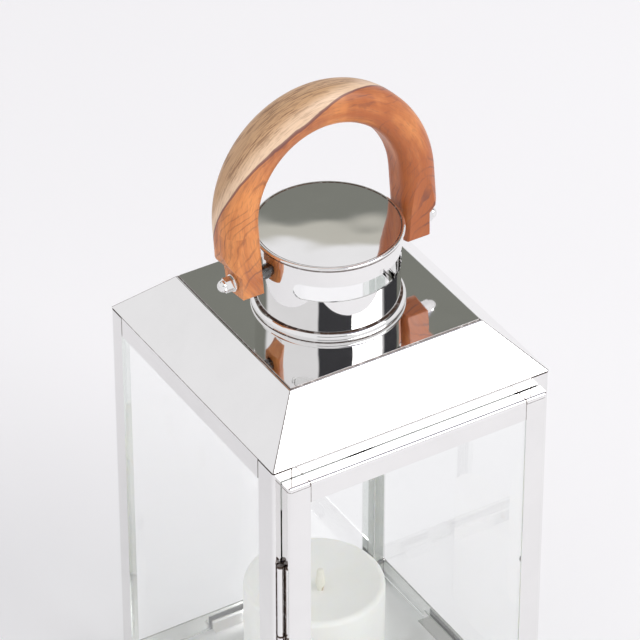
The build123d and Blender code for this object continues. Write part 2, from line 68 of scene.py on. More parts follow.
# ------------------------------------------------------------------ node helpers
def add_node(tree, kind, links=None, **values):
    """A shader node with its settings, its unlinked inputs and its links."""
    node = tree.nodes.new(kind)
    for key, value in values.items():
        if hasattr(node, key):
            setattr(node, key, value)
        else:
            node.inputs[key.replace("_", " ")].default_value = value
    for key, socket in (links or {}).items():
        tree.links.new(socket, node.inputs[key])
    return node


def add_maths(tree, operation, *terms, clamp=False):
    """One Math node; each term is a number or a socket."""
    node = tree.nodes.new("ShaderNodeMath")
    node.operation = operation
    node.use_clamp = clamp
    for index, term in enumerate(terms):
        if isinstance(term, (int, float)):
            node.inputs[index].default_value = term
        else:
            tree.links.new(term, node.inputs[index])
    return node.outputs[0]


def add_mix(tree, factor, first, second, blend="MIX"):
    """A colour mix; each colour is a tuple or a socket."""
    node = tree.nodes.new("ShaderNodeMix")
    node.data_type = "RGBA"
    node.blend_type = blend
    for index, value in ((0, factor), (6, first), (7, second)):
        if isinstance(value, (tuple, float, int)):
            node.inputs[index].default_value = value
        else:
            tree.links.new(value, node.inputs[index])
    return node.outputs[2]


def add_range(tree, value, low, high, to_low=0.0, to_high=1.0, smooth=True):
    """Maps a value from one range to another, held at its ends."""
    node = tree.nodes.new("ShaderNodeMapRange")
    node.interpolation_type = "SMOOTHSTEP" if smooth else "LINEAR"
    tree.links.new(value, node.inputs["Value"])
    node.inputs["From Min"].default_value = low
    node.inputs["From Max"].default_value = high
    node.inputs["To Min"].default_value = to_low
    node.inputs["To Max"].default_value = to_high
    return node.outputs["Result"]


def add_noise(tree, vector, scale, detail=2.0, roughness=0.5, distortion=0.0):
    """A noise texture on the given coordinates."""
    node = add_node(
        tree,
        "ShaderNodeTexNoise",
        links={"Vector": vector},
        Scale=scale,
        Detail=detail,
        Roughness=roughness,
        Distortion=distortion,
    )
    return node.outputs["Fac"]


def place(tree, location=(0, 0, 0), rotation=(0, 0, 0), scale=(1, 1, 1)):
    """Object coordinates, moved, turned and scaled for a pattern."""
    coordinates = tree.nodes.new("ShaderNodeTexCoord")
    mapping = tree.nodes.new("ShaderNodeMapping")
    mapping.inputs["Location"].default_value = location
    mapping.inputs["Rotation"].default_value = rotation
    mapping.inputs["Scale"].default_value = scale
    tree.links.new(coordinates.outputs["Object"], mapping.inputs["Vector"])
    return mapping.outputs["Vector"]


def add_axes(tree):
    """The X, Y and Z of Object coordinates, Y measured from the middle of the case."""
    node = tree.nodes.new("ShaderNodeSeparateXYZ")
    tree.links.new(place(tree, location=(0, -CASE_MIDDLE.y, 0)), node.inputs["Vector"])
    return node.outputs[0], node.outputs[1], node.outputs[2]


def add_length(tree, first, second):
    """The length of the vector with these two parts."""
    squares = [add_maths(tree, "MULTIPLY", part, part) for part in (first, second)]
    return add_maths(tree, "SQRT", add_maths(tree, "ADD", *squares))


def near(tree, value, target, width):
    """A mask that is 1 where the value is within a width of the target."""
    gap = add_maths(tree, "ABSOLUTE", add_maths(tree, "SUBTRACT", value, target))
    return add_range(tree, gap, 0.6 * width, width, 1.0, 0.0)


def within(tree, value, low, high, soft):
    """A mask that is 1 between two values, with soft ends."""
    rise = add_range(tree, value, low - soft, low + soft)
    fall = add_range(tree, value, high - soft, high + soft, 1.0, 0.0)
    return add_maths(tree, "MULTIPLY", rise, fall)


def most(tree, *masks):
    """The largest of several masks."""
    result = masks[0]
    for mask in masks[1:]:
        result = add_maths(tree, "MAXIMUM", result, mask)
    return result


def new_material(name):
    """An empty material with a Principled shader; returns material, tree and shader."""
    material = bpy.data.materials.new(name)
    material.use_nodes = True
    tree = material.node_tree
    tree.nodes.clear()
    shader = tree.nodes.new("ShaderNodeBsdfPrincipled")
    output = tree.nodes.new("ShaderNodeOutputMaterial")
    tree.links.new(shader.outputs["BSDF"], output.inputs["Surface"])
    return material, tree, shader


def new_group(name, inputs, outputs):
    """A node group with float or colour sockets; returns tree, its input and its output."""
    tree = bpy.data.node_groups.new(name, "ShaderNodeTree")
    for label, kind, default in inputs:
        socket = tree.interface.new_socket(label, in_out="INPUT", socket_type=kind)
        socket.default_value = default
    for label, kind in outputs:
        tree.interface.new_socket(label, in_out="OUTPUT", socket_type=kind)
    return tree, tree.nodes.new("NodeGroupInput"), tree.nodes.new("NodeGroupOutput")


def use_group(tree, name, links=None, **values):
    """Places a node group in a material."""
    node = tree.nodes.new("ShaderNodeGroup")
    node.node_tree = bpy.data.node_groups[name]
    for key, value in values.items():
        node.inputs[key.replace("_", " ")].default_value = value
    for key, socket in (links or {}).items():
        tree.links.new(socket, node.inputs[key])
    return node


def dress(material, *names):
    """Gives a material to CAD nodes."""
    for name in names:
        data = NODES[name].data
        if not data.materials:
            data.materials.append(material)
        for index in range(len(data.materials)):
            data.materials[index] = material


# ------------------------------------------------------------------ shared finishes
FLOAT = "NodeSocketFloat"
COLOUR = "NodeSocketColor"
VECTOR = "NodeSocketVector"


def make_sheet_group():
    """Polished sheet: waves from folding, faint buffing hairlines, and painted shade in its seams,
    which are also made rougher.
    """
    tree, given, result = new_group(
        "polished_sheet",
        (
            ("Wave Size", FLOAT, 14.0),
            ("Wave Depth", FLOAT, 0.0002),
            ("Haze", FLOAT, 0.05),
            ("Brightness", FLOAT, 1.0),
            ("Rise", FLOAT, 0.0),
            ("Seam", FLOAT, 0.0),
        ),
        (("Colour", COLOUR), ("Roughness", FLOAT), ("Normal", VECTOR)),
    )
    vector = place(tree)
    wave = tree.nodes.new("ShaderNodeTexNoise")
    wave.inputs["Detail"].default_value = 1.0
    wave.inputs["Roughness"].default_value = 0.4
    tree.links.new(vector, wave.inputs["Vector"])
    tree.links.new(given.outputs["Wave Size"], wave.inputs["Scale"])
    hairlines = add_noise(tree, place(tree, scale=(1, 1, 30)), 90.0, detail=3.0)
    smudge = add_noise(tree, vector, 24.0, detail=3.0, roughness=0.6)
    waves = add_maths(tree, "MULTIPLY", wave.outputs["Fac"], given.outputs["Wave Depth"])
    bump = tree.nodes.new("ShaderNodeBump")
    bump.inputs["Strength"].default_value = 1.0
    bump.inputs["Distance"].default_value = 1.0
    tree.links.new(add_maths(tree, "ADD", waves, given.outputs["Rise"]), bump.inputs["Height"])
    haze = add_range(tree, smudge, 0.35, 0.75, 0.8, 1.2)
    lines = add_range(tree, hairlines, 0.45, 0.75, 0.0, 0.35)
    rough = add_maths(tree, "MULTIPLY", add_maths(tree, "ADD", haze, lines), given.outputs["Haze"])
    # painted shade along the seams: a mask broken by fine noise, which makes the steel rougher and
    # darker there
    fleck = add_noise(tree, vector, 300.0, detail=2.0)
    seam = add_maths(
        tree, "MULTIPLY", given.outputs["Seam"], add_range(tree, fleck, 0.25, 0.5, 0.55, 1.0)
    )
    rough = add_maths(tree, "ADD", rough, add_maths(tree, "MULTIPLY", seam, 0.4))
    shade = add_maths(
        tree, "MULTIPLY", add_range(tree, smudge, 0.3, 0.8, 1.0, 0.965), given.outputs["Brightness"]
    )
    settings = lantern_settings().steel
    tint = add_mix(tree, 1.0, (*settings.colour, 1.0), shade, "MULTIPLY")
    # painted shade: the seam mask darkens the steel towards the brown seam colour
    tint = add_mix(tree, seam, tint, (*settings.seam_shade, 1.0))
    tree.links.new(tint, result.inputs["Colour"])
    tree.links.new(rough, result.inputs["Roughness"])
    tree.links.new(bump.outputs["Normal"], result.inputs["Normal"])


def steel_material(name, wave_size, wave_depth, haze=None, brightness=1.0, seams=None, rise=None):
    """One steel finish; seams makes the mask of its painted seam shade and rise the height of its
    crown.
    """
    haze = lantern_settings().steel.haze if haze is None else haze
    material, tree, shader = new_material(name)
    links = {}
    if seams:
        links["Seam"] = seams(tree, *add_axes(tree))
    if rise:
        links["Rise"] = rise(tree, *add_axes(tree))
    sheet = use_group(
        tree,
        "polished_sheet",
        links=links,
        Wave_Size=wave_size,
        Wave_Depth=wave_depth,
        Haze=haze,
        Brightness=brightness,
    )
    shader.inputs["Metallic"].default_value = 1.0
    tree.links.new(sheet.outputs["Colour"], shader.inputs["Base Color"])
    tree.links.new(sheet.outputs["Roughness"], shader.inputs["Roughness"])
    tree.links.new(sheet.outputs["Normal"], shader.inputs["Normal"])
    return material


# ------------------------------------------------------------------ settings
def colour_property(name, description, default):
    """A colour setting."""
    return bpy.props.FloatVectorProperty(
        name=name,
        description=description,
        subtype="COLOR",
        size=3,
        min=0.0,
        max=1.0,
        default=default,
    )


class SteelSettings(bpy.types.PropertyGroup):
    """Polished steel."""

    colour: colour_property("Colour", "Colour of the polished steel", (0.86, 0.855, 0.85))
    # the colour of the painted shade in the seams
    seam_shade: colour_property("Seam_shade", "Colour of the brown line in a seam", (0.10, 0.065, 0.05))
    haze: bpy.props.FloatProperty(
        name="Haze", description="Roughness of the polish", default=0.045, min=0.0, max=1.0
    )
    cap_dish: bpy.props.FloatProperty(
        name="Cap dish",
        description="Curvature of the chimney's cap, one over its radius in metres",
        default=1.05,
    )
    cap_turn: bpy.props.FloatProperty(
        name="Cap turn",
        description="Direction of the cap's dish, from Y towards -X",
        default=radians(-32.0),
        subtype="ANGLE",
    )
    wave_depth: bpy.props.FloatProperty(
        name="Wave depth",
        description="Height of the waves in the roof's sheet",
        default=0.00035,
        unit="LENGTH",
        precision=5,
    )


class GlassSettings(bpy.types.PropertyGroup):
    """Window glass."""

    colour: colour_property(
        "Colour", "Colour seen through the face of a pane", (0.996, 1.0, 0.999)
    )
    edge: colour_property("Edge", "Colour of a pane's cut edges", (0.66, 0.82, 0.79))


class WoodSettings(bpy.types.PropertyGroup):
    """The handle's wood."""

    heart: colour_property("Heartwood", "Colour of the heartwood", (0.78, 0.295, 0.085))
    heart_dark: colour_property(
        "Dark heartwood", "Colour of the heartwood's darker patches", (0.44, 0.115, 0.026)
    )
    sap: colour_property(
        "Sapwood", "Colour of the sapwood next to the heartwood", (0.80, 0.57, 0.385)
    )
    sap_outer: colour_property(
        "Outer sapwood", "Colour of the sapwood at the outside of the log", (0.56, 0.335, 0.175)
    )
    streak: colour_property(
        "Streak", "Colour of the brown streaks in the sapwood", (0.25, 0.125, 0.06)
    )
    line: colour_property("Grain line", "Colour of the dark grain lines", (0.17, 0.05, 0.03))
    ring: bpy.props.FloatProperty(
        name="Ring spacing",
        description="Distance between growth rings",
        default=0.0042,
        unit="LENGTH",
        precision=4,
    )


class CandleSettings(bpy.types.PropertyGroup):
    """The candle."""

    wax: colour_property("Wax", "Colour of the wax", (0.965, 0.955, 0.895))


class StageSettings(bpy.types.PropertyGroup):
    """Camera, floor and light."""

    azimuth: bpy.props.FloatProperty(
        name="Azimuth",
        description="Camera's turn about the lantern",
        default=radians(-31.325),
        subtype="ANGLE",
    )
    elevation: bpy.props.FloatProperty(
        name="Elevation",
        description="Camera's height as an angle",
        default=radians(36.458),
        subtype="ANGLE",
    )
    distance: bpy.props.FloatProperty(
        name="Distance",
        description="From the roof's lower edge to the camera",
        default=2.943,
        unit="LENGTH",
    )
    lens: bpy.props.FloatProperty(
        name="Lens", description="Focal length of the camera", default=251.0, unit="CAMERA"
    )
    slide_right: bpy.props.FloatProperty(
        name="Slide right",
        description="Sideways offset of the camera",
        default=-0.0053,
        unit="LENGTH",
    )
    slide_up: bpy.props.FloatProperty(
        name="Slide up", description="Upward offset of the camera", default=0.01197, unit="LENGTH"
    )
    room: colour_property("Room light", "Colour of the white studio", (0.91, 0.905, 0.92))
    dark: colour_property("Dark end", "Colour of the studio's unlit end", (0.22, 0.225, 0.20))
    rim: colour_property(
        "Lit rim",
        "Colour of the strip between the unlit end and the white ceiling",
        (0.56, 0.545, 0.49),
    )
    ceiling: colour_property(
        "Ceiling panel", "Colour of the grey panel high on the right", (0.30, 0.29, 0.36)
    )
    key_power: bpy.props.FloatProperty(
        name="Key light", description="Power of the large soft light", default=112.0, unit="POWER"
    )


class LanternSettings(bpy.types.PropertyGroup):
    """All the lantern's settings."""

    steel: bpy.props.PointerProperty(type=SteelSettings)
    glass: bpy.props.PointerProperty(type=GlassSettings)
    wood: bpy.props.PointerProperty(type=WoodSettings)
    candle: bpy.props.PointerProperty(type=CandleSettings)
    stage: bpy.props.PointerProperty(type=StageSettings)


def lantern_settings():
    """The settings as they are now."""
    return bpy.context.scene.lantern


# ------------------------------------------------------------------ case
# each seams and rise function takes the tree and the three axes, whether or not it needs them all
HAIR = 0.5 * MM  # width of a painted shade line in a seam


def post_seams(tree, x, y, z):
    """Painted shade at the top of the posts, and painted shadow on the front left one beside the
    hinge's barrel.
    """
    off_x = add_maths(tree, "SUBTRACT", x, HINGE.x)
    off_y = add_maths(tree, "SUBTRACT", y, HINGE.y - CASE_MIDDLE.y)
    reach = add_length(tree, off_x, off_y)
    hinge_low, hinge_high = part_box("hinge_leaf_frame")
    beside = add_maths(
        tree,
        "MULTIPLY",
        add_range(tree, reach, 2.9 * MM, 3.6 * MM, 1.0, 0.0),
        within(tree, z, hinge_low.z, hinge_high.z, 0.5 * MM),
    )
    post_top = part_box("post_front_left")[1].z
    top = add_range(tree, z, post_top - 0.7 * MM, post_top - 0.1 * MM)
    return most(tree, top, beside)


def rail_seams(tree, x, y, z):
    """Painted shade at a rail's ends, beside the posts, and under the roof."""
    front_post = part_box("post_front_left")[1]
    back_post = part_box("post_back_left")[0]
    return most(
        tree,
        near(tree, add_maths(tree, "ABSOLUTE", x), -front_post.x - 0.4 * MM, HAIR),
        near(tree, y, front_post.y - CASE_MIDDLE.y + 0.4 * MM, HAIR),
        near(tree, y, back_post.y - CASE_MIDDLE.y - 0.4 * MM, HAIR),
        add_range(tree, z, CASE_MIDDLE.z - 0.9 * MM, CASE_MIDDLE.z - 0.4 * MM),
    )


def roof_seams(tree, x, y, z):
    """Painted shade along the hips and in the gap round the top plate."""
    wide, deep = add_maths(tree, "ABSOLUTE", x), add_maths(tree, "ABSOLUTE", y)
    hip = near(tree, add_maths(tree, "SUBTRACT", wide, deep), 0.0, 0.6 * MM)
    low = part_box("roof_top_plate")[1].x
    inside = add_maths(tree, "MAXIMUM", wide, deep)
    gap = add_range(tree, inside, low + 0.3 * MM, low + 0.7 * MM, 0.85, 0.0)
    return most(tree, add_maths(tree, "MULTIPLY", hip, 0.75), gap)


def plate_seams(tree, x, y, z):
    """Painted shade along the top plate's edge."""
    wide, deep = add_maths(tree, "ABSOLUTE", x), add_maths(tree, "ABSOLUTE", y)
    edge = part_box("roof_top_plate")[1].x
    inside = add_maths(tree, "MAXIMUM", wide, deep)
    return add_range(tree, inside, edge - 0.35 * MM, edge - 0.05 * MM, 0.0, 0.7)


def plate_rise(tree, x, y, z):
    """The top plate is drawn up a little towards its edges."""
    wide, deep = add_maths(tree, "ABSOLUTE", x), add_maths(tree, "ABSOLUTE", y)
    inside = add_maths(tree, "MAXIMUM", wide, deep)
    return add_range(tree, inside, 50 * MM, 74 * MM, 0.0, 0.25 * MM)


class LANTERN_OT_finish_case(bpy.types.Operator):
    """Polish the posts, rails, floor pan and roof"""

    bl_idname = "lantern.finish_case"
    bl_label = "Finish the case"

    def execute(self, context):
        steel = lantern_settings().steel
        make_sheet_group()
        posts = steel_material("post_steel", 9.0, 0.0001, seams=post_seams)
        rails = steel_material("rail_steel", 12.0, 0.00015, seams=rail_seams)
        pan = steel_material("pan_steel", 8.0, 0.00002, haze=0.42, brightness=1.0)
        roof = steel_material("roof_sheet_steel", 8.0, steel.wave_depth, seams=roof_seams)
        plate = steel_material(
            "roof_plate_steel", 9.0, steel.wave_depth, seams=plate_seams, rise=plate_rise
        )
        corners = [f"{y}_{x}" for y in ("front", "back") for x in ("left", "right")]
        sides = ("front", "back", "left", "right")
        dress(posts, *(f"post_{corner}" for corner in corners))
        dress(rails, *(f"rail_{level}_{side}" for level in ("bottom", "top") for side in sides))
        dress(pan, "base_pan")
        dress(roof, "roof_shell")
        dress(plate, "roof_top_plate")

        rubber, tree, shader = new_material("foot_rubber")
        fleck = add_noise(tree, place(tree), 900.0, detail=3.0)
        tint = add_mix(tree, fleck, (0.02, 0.02, 0.021, 1.0), (0.045, 0.045, 0.046, 1.0))
        tree.links.new(tint, shader.inputs["Base Color"])
        tree.links.new(add_range(tree, fleck, 0.3, 0.7, 0.65, 0.85), shader.inputs["Roughness"])
        dress(rubber, *(f"foot_{corner}" for corner in corners))
        return {"FINISHED"}


# ------------------------------------------------------------------ panes
PANE_TINT = (0.985, 0.995, 0.99, 1.0)  # what one face of a pane lets through


def glass_material(name, across):
    """Clear glass with green edges; across is the axis through the pane's thickness, 0 or 1.

    Shadow rays, and rays that leave another surface, pass straight through it.
    """
    colours = lantern_settings().glass
    material, tree, shader = new_material(name)
    coordinates = tree.nodes.new("ShaderNodeTexCoord")
    axes = tree.nodes.new("ShaderNodeSeparateXYZ")
    tree.links.new(coordinates.outputs["Normal"], axes.inputs["Vector"])
    facing = add_maths(tree, "ABSOLUTE", axes.outputs[across])
    edge = add_range(tree, facing, 0.2, 0.6, 1.0, 0.0)
    cloud = add_noise(tree, place(tree), 30.0, detail=2.0)
    clouded = add_range(tree, cloud, 0.4, 0.8, 0.0, 0.4)
    face_tint = add_mix(tree, clouded, (*colours.colour, 1.0), PANE_TINT)
    tint = add_mix(tree, edge, face_tint, (*colours.edge, 1.0))
    tree.links.new(tint, shader.inputs["Base Color"])
    tree.links.new(add_range(tree, edge, 0.0, 1.0, 0.0, 0.3), shader.inputs["Roughness"])
    shader.inputs["Transmission Weight"].default_value = 1.0
    shader.inputs["IOR"].default_value = 1.5
    path = tree.nodes.new("ShaderNodeLightPath")
    clear = tree.nodes.new("ShaderNodeBsdfTransparent")
    clear.inputs["Color"].default_value = PANE_TINT
    mirrored = add_maths(
        tree,
        "SUBTRACT",
        path.outputs["Is Glossy Ray"],
        path.outputs["Is Transmission Ray"],
        clamp=True,
    )
    lit = most(tree, path.outputs["Is Shadow Ray"], path.outputs["Is Diffuse Ray"], mirrored)
    blend = tree.nodes.new("ShaderNodeMixShader")
    output = next(node for node in tree.nodes if node.type == "OUTPUT_MATERIAL")
    tree.links.new(lit, blend.inputs[0])
    tree.links.new(shader.outputs["BSDF"], blend.inputs[1])
    tree.links.new(clear.outputs["BSDF"], blend.inputs[2])
    tree.links.new(blend.outputs["Shader"], output.inputs["Surface"])
    return material


class LANTERN_OT_fit_glass(bpy.types.Operator):
    """Give the panes clear glass with green edges, and their clips polished steel"""

    bl_idname = "lantern.fit_glass"
    bl_label = "Fit the glass"

    def execute(self, context):
        dress(glass_material("side_glass", 0), "glass_left", "glass_right")
        dress(glass_material("end_glass", 1), "glass_back", "door_glass")
        clip = steel_material("clip_steel", 20.0, 0.0001, haze=0.08)
        dress(clip, "pane_clips_left", "pane_clips_right", "pane_clips_back", "door_glass_clips")
        return {"FINISHED"}


# ------------------------------------------------------------------ chimney
def chimney_seams(tree, x, y, z):
    """Painted shade above and below the bead, and under the cap's skirt."""
    bead_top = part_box("chimney_foot_ring")[1].z
    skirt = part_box("chimney_cap")[0].z
    return most(
        tree,
        near(tree, z, bead_top, HAIR),
        add_range(tree, z, PLATE_Z + 0.3 * MM, PLATE_Z + 0.7 * MM, 1.0, 0.0),
        near(tree, z, skirt - 0.1 * MM, 0.6 * MM),
    )


def cap_seams(tree, x, y, z):
    """A painted reflection as a dark line round the disc inside the rolled rim, and painted shade
    under the rim.
    """
    reach = add_length(tree, x, y)
    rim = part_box("chimney_cap")[1].x
    ring = near(tree, reach, rim - 2.5 * MM, HAIR)
    under = near(tree, z, CAP_Z - 3.1 * MM, HAIR)
    return most(tree, ring, add_maths(tree, "MULTIPLY", under, 0.85))


def cap_rise(tree, x, y, z):
    """The cap is a little dished along one line, lowest behind its middle."""
    settings = lantern_settings().steel
    turn = settings.cap_turn
    along = add_maths(
        tree,
        "ADD",
        add_maths(tree, "MULTIPLY", x, -sin(turn)),
        add_maths(tree, "MULTIPLY", y, cos(turn)),
    )
    along = add_maths(tree, "SUBTRACT", along, 20 * MM)
    dish = add_maths(tree, "MULTIPLY", along, along)
    return add_maths(tree, "MULTIPLY", dish, settings.cap_dish / 2)


class LANTERN_OT_finish_chimney(bpy.types.Operator):
    """Polish the chimney's wall, bead and cap"""

    bl_idname = "lantern.finish_chimney"
    bl_label = "Finish the chimney"

    def execute(self, context):
        wall = steel_material("chimney_steel", 10.0, 0.00025, seams=chimney_seams)
        cap = steel_material("cap_steel", 22.0, 0.00045, seams=cap_seams, rise=cap_rise)
        dress(wall, "chimney_wall", "chimney_foot_ring")
        dress(cap, "chimney_cap")
        return {"FINISHED"}


# ------------------------------------------------------------------ handle
SAP_NORMAL = Vector((-0.20, 0.92, 0.33)).normalized()  # out of the log, on the handle
SAP_POINT = PIVOT + Vector((-33.0, 2.0, 84.6)) * MM  # where the sapwood starts
ARCH_RISE = 39.3 * MM  # from the pivots up to the middle of the hoop's arch
ARCH_RADIUS = 67 * MM
FIBRE_STRETCH = 0.08  # how much slower the fibres change along the bend than across it


def wood_material():
    """Orange heartwood with flowing dark lines, and pale streaked sapwood behind a dark line."""
    colours = lantern_settings().wood
    material, tree, shader = new_material("handle_wood")
    vector = place(tree)
    depth = tree.nodes.new("ShaderNodeVectorMath")
    depth.operation = "DOT_PRODUCT"
    depth.inputs[1].default_value = SAP_NORMAL
    tree.links.new(vector, depth.inputs[0])
    depth = add_maths(tree, "SUBTRACT", depth.outputs["Value"], SAP_POINT.dot(SAP_NORMAL))
    warp = add_maths(tree, "SUBTRACT", add_noise(tree, vector, 16.0, detail=2.0), 0.5)
    warp_fine = add_maths(tree, "SUBTRACT", add_noise(tree, vector, 70.0, detail=3.0), 0.5)
    edge = add_maths(tree, "ADD", depth, add_maths(tree, "MULTIPLY", warp, 4 * MM))
    edge = add_maths(tree, "ADD", edge, add_maths(tree, "MULTIPLY", warp_fine, 1.4 * MM))

    # fibres follow the bend: round the middle of the arch, and slowly across it
    x, y, z = add_axes(tree)
    rise = add_maths(tree, "SUBTRACT", z, PIVOT.z + ARCH_RISE)
    reach = add_length(tree, x, rise)
    round_arch = add_maths(
        tree, "MULTIPLY", add_maths(tree, "ARCTAN2", rise, x), ARCH_RADIUS * FIBRE_STRETCH
    )
    bent = tree.nodes.new("ShaderNodeCombineXYZ")
    for index, socket in enumerate((reach, round_arch, y)):
        tree.links.new(socket, bent.inputs[index])
    bent = bent.outputs[0]
    fibre = add_noise(tree, bent, 1050.0, detail=3.0, roughness=0.6)
    bands = add_noise(tree, bent, 130.0, detail=3.0, roughness=0.6)

    # growth rings, seen as dark lines in patches
    layer = add_maths(tree, "ADD", depth, add_maths(tree, "MULTIPLY", warp, 30 * MM))
    layer = add_maths(tree, "ADD", layer, add_maths(tree, "MULTIPLY", warp_fine, 5 * MM))
    rings = add_maths(tree, "SINE", add_maths(tree, "MULTIPLY", layer, tau / colours.ring))
    patches = add_noise(tree, place(tree, scale=(1, 1, 0.6)), 26.0, detail=4.0, roughness=0.6)
    pores = add_noise(tree, bent, 1300.0, detail=2.0)

    line = add_range(tree, rings, 0.66, 1.0)
    line = add_maths(tree, "MULTIPLY", line, add_range(tree, patches, 0.45, 0.64, 0.0, 0.9))
    line = add_maths(tree, "MULTIPLY", line, add_range(tree, x, -60 * MM, 30 * MM, 0.6, 1.0))
    shade = add_maths(
        tree,
        "ADD",
        add_maths(tree, "MULTIPLY", patches, 0.6),
        add_maths(tree, "MULTIPLY", bands, 0.4),
    )
    shade = add_maths(tree, "ADD", shade, add_range(tree, x, -70 * MM, 70 * MM, -0.07, 0.12))
    heart = add_mix(
        tree,
        add_range(tree, shade, 0.38, 0.64),
        (*colours.heart, 1.0),
        (*colours.heart_dark, 1.0),
    )
    heart = add_mix(tree, line, heart, (*colours.line, 1.0))

    # sapwood, with more streaks towards the outside of the log
    speckle = add_maths(
        tree,
        "MULTIPLY",
        add_range(tree, fibre, 0.49, 0.58),
        add_range(tree, edge, 3 * MM, 12 * MM, 0.15, 0.95),
    )
    speckle = add_maths(tree, "MULTIPLY", speckle, add_range(tree, bands, 0.36, 0.60, 0.15, 1.0))
    outer = add_range(tree, edge, 2 * MM, 11 * MM)
    sap = add_mix(tree, outer, (*colours.sap, 1.0), (*colours.sap_outer, 1.0))
    sap = add_mix(tree, speckle, sap, (*colours.streak, 1.0))

    # the two meet at a dusky band and a thin dark line, and pores lie over both
    tint = add_mix(tree, add_range(tree, edge, -0.3 * MM, 0.5 * MM), heart, sap)
    dusk = within(tree, edge, -4 * MM, 0.0, 1.5 * MM)
    tint = add_mix(tree, add_maths(tree, "MULTIPLY", dusk, 0.25), tint, (0.30, 0.10, 0.055, 1.0))
    border = near(tree, edge, 0.0, 0.8 * MM)
    tint = add_mix(tree, add_maths(tree, "MULTIPLY", border, 0.8), tint, (0.15, 0.05, 0.05, 1.0))
    grain = add_range(tree, pores, 0.50, 0.70, 0.0, 0.30)
    tint = add_mix(tree, grain, tint, (0.22, 0.085, 0.045, 1.0))
    tree.links.new(tint, shader.inputs["Base Color"])
    tree.links.new(add_range(tree, fibre, 0.3, 0.7, 0.34, 0.52), shader.inputs["Roughness"])
    shader.inputs["Coat Weight"].default_value = 0.15
    shader.inputs["Coat Roughness"].default_value = 0.3
    bump = tree.nodes.new("ShaderNodeBump")
    bump.inputs["Distance"].default_value = 0.10 * MM
    bump.inputs["Strength"].default_value = 1.0
    tree.links.new(fibre, bump.inputs["Height"])
    tree.links.new(bump.outputs["Normal"], shader.inputs["Normal"])
    return material


class LANTERN_OT_finish_handle(bpy.types.Operator):
    """Give the hoop its wood and the pivots their polish"""

    bl_idname = "lantern.finish_handle"
    bl_label = "Finish the handle"

    def execute(self, context):
        dress(wood_material(), "handle_hoop")
        bolt = steel_material("bolt_steel", 60.0, 0.00005, haze=0.06)
        spacer = steel_material("spacer_steel", 60.0, 0.00005, haze=0.25, brightness=0.18)
        for side in ("left", "right"):
            dress(bolt, *(f"{piece}_{side}" for piece in PIVOT_PIECES))
            dress(spacer, f"pivot_spacer_{side}")
        return {"FINISHED"}


# ------------------------------------------------------------------ door
DOOR_LAP = 3 * MM


def door_rail_seams(tree, x, y, z):
    """Painted shade where a door rail meets the stiles."""
    return most(
        tree,
        near(tree, x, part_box("door_stile_hinge")[1].x, HAIR),
        near(tree, x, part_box("door_stile_latch")[0].x, HAIR),
    )


def stile_seams(tree, x, y, z):
    """Painted shade where the rails' folded edges lap over the ends of a stile."""
    low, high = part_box("door_stile_hinge")
    return most(
        tree,
        near(tree, z, high.z - DOOR_LAP, 0.4 * MM),
        near(tree, z, low.z + DOOR_LAP, 0.4 * MM),
    )


def hinge_seams(tree, x, y, z):
    """Both ends of the barrel painted black as shadow, its knuckle joints dark, and painted shadow
    on the leaves beside it.
    """
    off_x = add_maths(tree, "SUBTRACT", x, HINGE.x)
    off_y = add_maths(tree, "SUBTRACT", y, HINGE.y - CASE_MIDDLE.y)
    reach = add_length(tree, off_x, off_y)
    low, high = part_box("hinge_leaf_frame")
    knuckle = (high.z - low.z) / 3
    joints = [near(tree, z, low.z + knuckle * count, 1.1 * MM) for count in range(4)]
    # painted shadow: a dark band on the leaves beside the barrel
    leaves = add_range(tree, reach, 2.25 * MM, 2.5 * MM)
    leaf_band_end = add_range(tree, reach, 4.4 * MM, 4.9 * MM, 1.0, 0.0)
    return most(tree, add_maths(tree, "MULTIPLY", leaves, leaf_band_end), *joints)


class LANTERN_OT_finish_door(bpy.types.Operator):
    """Polish the door, its hinge and its catch"""

    bl_idname = "lantern.finish_door"
    bl_label = "Finish the door"

    def execute(self, context):
        stile = steel_material("door_stile_steel", 9.0, 0.00012, seams=stile_seams)
        rail = steel_material("door_rail_steel", 9.0, 0.00012, seams=door_rail_seams)
        hinge = steel_material("hinge_steel", 40.0, 0.00005, haze=0.08, seams=hinge_seams)
        dress(stile, "door_stile_hinge", "door_stile_latch")
        dress(rail, "door_rail_top", "door_rail_bottom")
        dress(hinge, "hinge_leaf_frame", "hinge_leaf_door", "hinge_pin", "catch_bracket")

        magnet, tree, shader = new_material("magnet_ferrite")
        grain = add_noise(tree, place(tree), 1400.0, detail=3.0)
        tint = add_mix(tree, grain, (0.03, 0.03, 0.033, 1.0), (0.07, 0.07, 0.075, 1.0))
        tree.links.new(tint, shader.inputs["Base Color"])
        tree.links.new(add_range(tree, grain, 0.3, 0.7, 0.45, 0.65), shader.inputs["Roughness"])
        dress(magnet, "catch_magnet")
        return {"FINISHED"}


